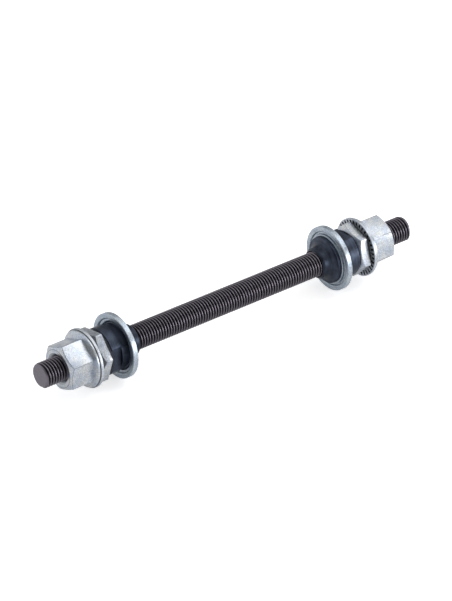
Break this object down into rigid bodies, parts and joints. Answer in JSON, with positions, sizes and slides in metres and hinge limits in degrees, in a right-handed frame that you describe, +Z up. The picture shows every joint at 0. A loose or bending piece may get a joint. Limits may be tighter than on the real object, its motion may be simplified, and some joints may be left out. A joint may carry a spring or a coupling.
{
  "type": "bicycle hub axle",
  "caption": "Threaded steel hub axle with bearing cones, dust caps, locknuts, toothed washers and flanged wheel nuts on both ends.",
  "frame": {"origin": "middle of the axle, on its centre line", "axes": "+Y along the axle towards the right end, +Z up, +X forward"},
  "size_m": [0.0208, 0.14, 0.0208],
  "materials": {
    "black_oxide_thread": "black oxide on rolled thread, satin",
    "black_oxide": "black oxide on turned steel, semi-gloss",
    "blued_zinc": "bright zinc plate with a blue passivation",
    "bright_zinc": "bright zinc plate, satin",
    "grey_zinc": "grey zinc plate, pressed teeth"
  },
  "bodies": {
    "axle": {"axle": "black_oxide_thread"},
    "left_bearing_set": {"left_dust_cap": "blued_zinc", "left_spacer": "black_oxide"},
    "left_cone": {"left_cone": "black_oxide"},
    "left_locknut": {"left_locknut": "bright_zinc"},
    "left_washer": {"left_washer": "grey_zinc"},
    "left_nut": {"left_nut": "bright_zinc"},
    "right_bearing_set": {"right_dust_cap": "blued_zinc"},
    "right_cone": {"right_cone": "black_oxide"},
    "right_locknut": {"right_locknut": "bright_zinc"},
    "right_washer": {"right_washer": "grey_zinc"},
    "right_nut": {"right_nut": "bright_zinc"}
  },
  "joints": [
    {"name": "left_cone_travel", "type": "slide", "parent": "axle", "child": "left_bearing_set", "axis": [0, 1, 0], "range_m": [0, 0.002]},
    {"name": "left_cone_turn", "type": "hinge", "parent": "left_bearing_set", "child": "left_cone", "pos_m": [0, -0.0416, 0], "axis": [0, 1, 0], "range_deg": [0, 720]},
    {"name": "left_locknut_turn", "type": "hinge", "parent": "left_bearing_set", "child": "left_locknut", "pos_m": [0, -0.0506, 0], "axis": [0, 1, 0], "range_deg": [0, 720]},
    {"name": "left_nut_travel", "type": "slide", "parent": "axle", "child": "left_washer", "axis": [0, -1, 0], "range_m": [0, 0.012]},
    {"name": "left_nut_turn", "type": "hinge", "parent": "left_washer", "child": "left_nut", "pos_m": [0, -0.0582, 0], "axis": [0, -1, 0], "range_deg": [0, 4320]},
    {"name": "right_cone_travel", "type": "slide", "parent": "axle", "child": "right_bearing_set", "axis": [0, -1, 0], "range_m": [0, 0.002]},
    {"name": "right_cone_turn", "type": "hinge", "parent": "right_bearing_set", "child": "right_cone", "pos_m": [0, 0.0404, 0], "axis": [0, -1, 0], "range_deg": [0, 720]},
    {"name": "right_locknut_turn", "type": "hinge", "parent": "right_bearing_set", "child": "right_locknut", "pos_m": [0, 0.0494, 0], "axis": [0, -1, 0], "range_deg": [0, 720]},
    {"name": "right_nut_travel", "type": "slide", "parent": "axle", "child": "right_washer", "axis": [0, 1, 0], "range_m": [0, 0.012]},
    {"name": "right_nut_turn", "type": "hinge", "parent": "right_washer", "child": "right_nut", "pos_m": [0, 0.057, 0], "axis": [0, 1, 0], "range_deg": [0, 4320]}
  ],
  "couplings": [
    {"joint": "left_cone_travel", "follows": "left_cone_turn", "m_per_rad": 0.00015915},
    {"joint": "left_locknut_turn", "follows": "left_cone_turn", "ratio": 1},
    {"joint": "left_nut_travel", "follows": "left_nut_turn", "m_per_rad": 0.00015915},
    {"joint": "right_cone_travel", "follows": "right_cone_turn", "m_per_rad": 0.00015915},
    {"joint": "right_locknut_turn", "follows": "right_cone_turn", "ratio": 1},
    {"joint": "right_nut_travel", "follows": "right_nut_turn", "m_per_rad": 0.00015915}
  ]
}
